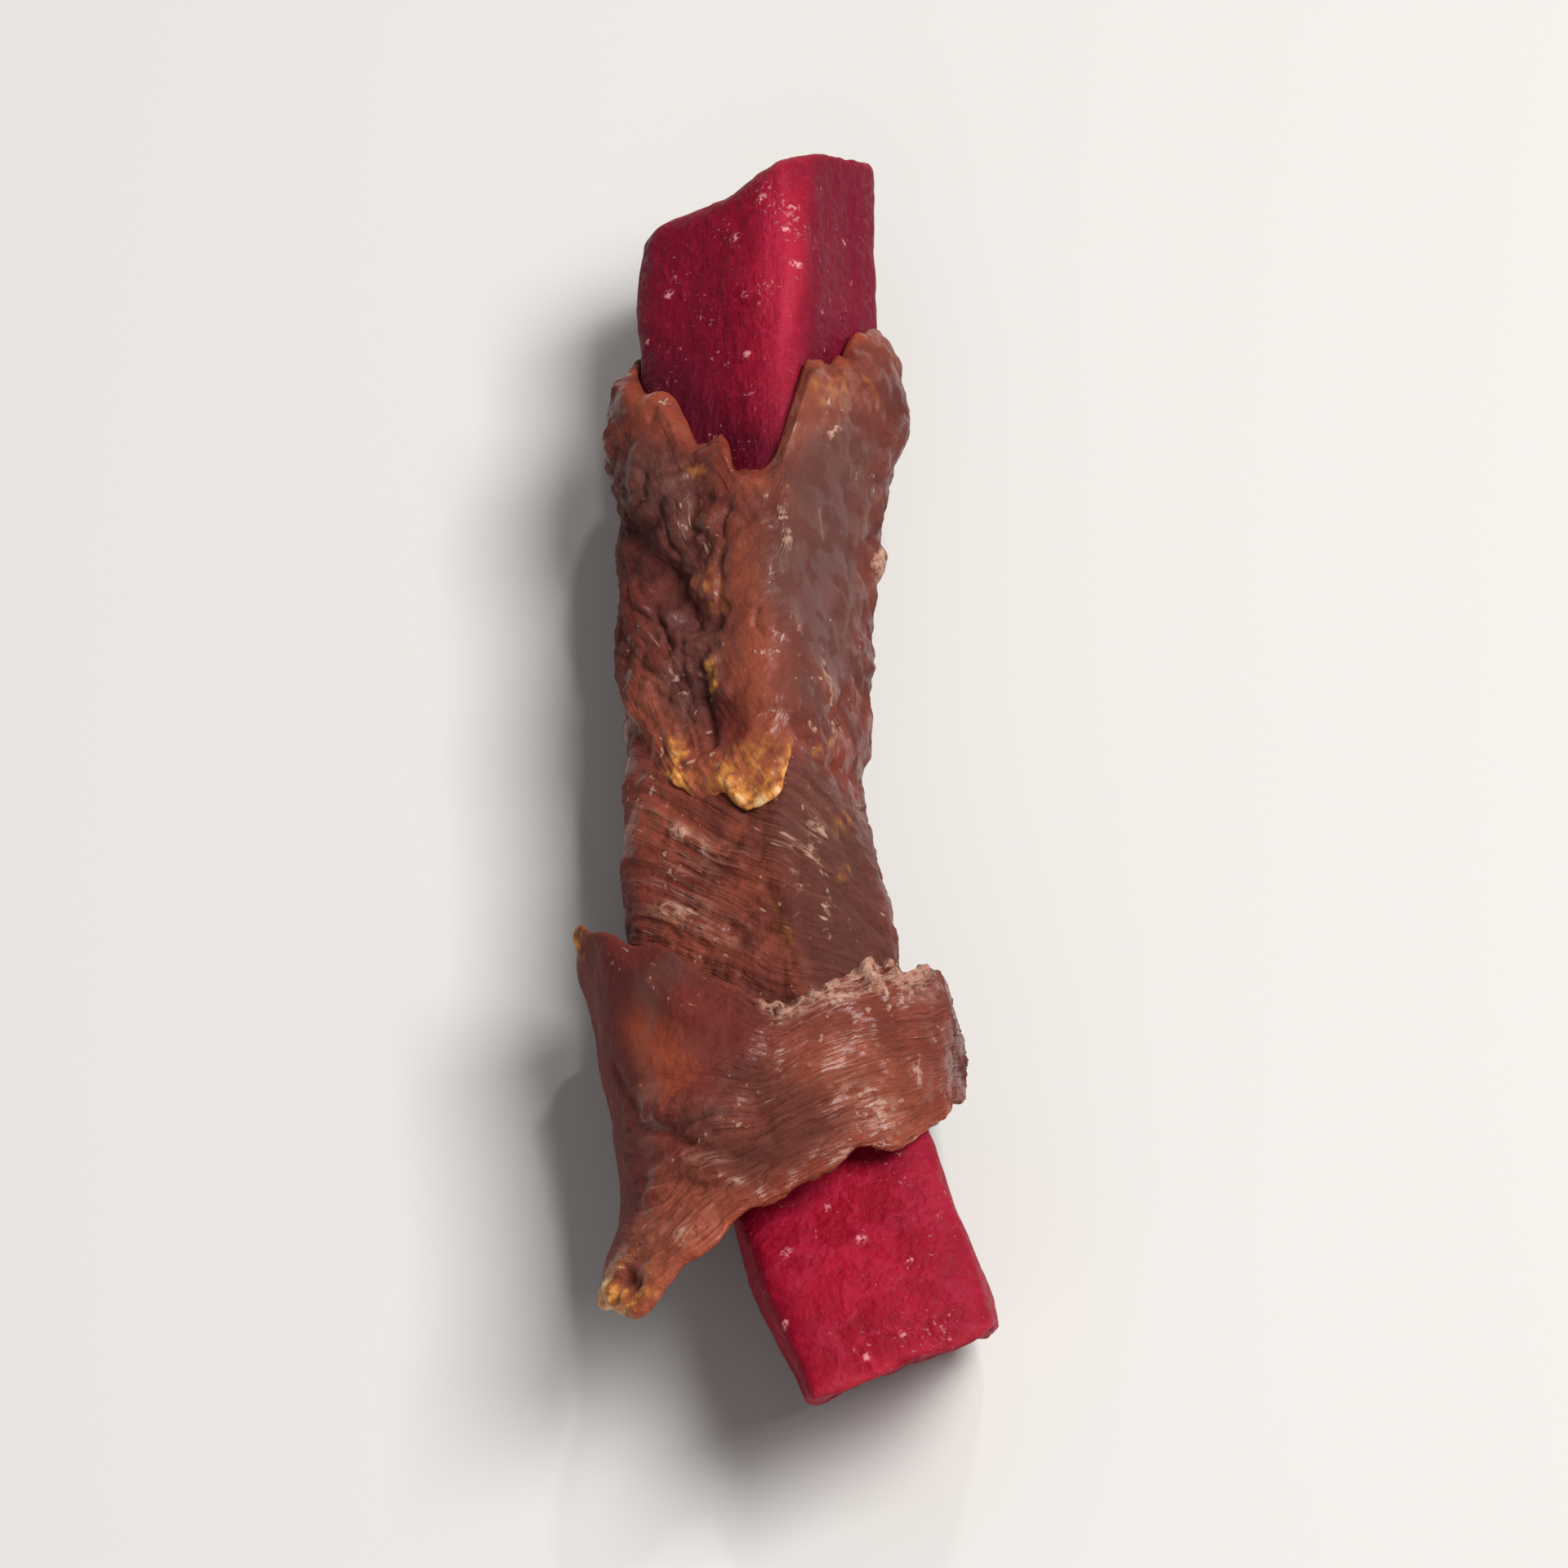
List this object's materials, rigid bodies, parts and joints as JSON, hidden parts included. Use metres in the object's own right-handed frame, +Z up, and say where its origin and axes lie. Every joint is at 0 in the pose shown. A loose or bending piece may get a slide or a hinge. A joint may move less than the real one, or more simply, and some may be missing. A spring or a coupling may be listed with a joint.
{
  "type": "duck and sweet potato dog chew",
  "caption": "Dog chew: a squared baton of dried purple sweet potato with a strip of duck breast wound round it and both ends of the baton bare.",
  "frame": {"origin": "on the surface the chew lies on, under the middle of its bounding box", "axes": "+Z up, +Y along the chew from the end with the cuff to the other end, +X to the right"},
  "size_m": [0.0224, 0.0784, 0.0168],
  "materials": {
    "dried_duck": "dried muscle, satin with greasy streaks and pale fat at the edges",
    "purple_sweet_potato": "dried crimson flesh, satin, granular with pale sugar specks"
  },
  "bodies": {
    "root": {"duck_strip": "dried_duck", "sweet_potato": "purple_sweet_potato"}
  },
  "joints": []
}
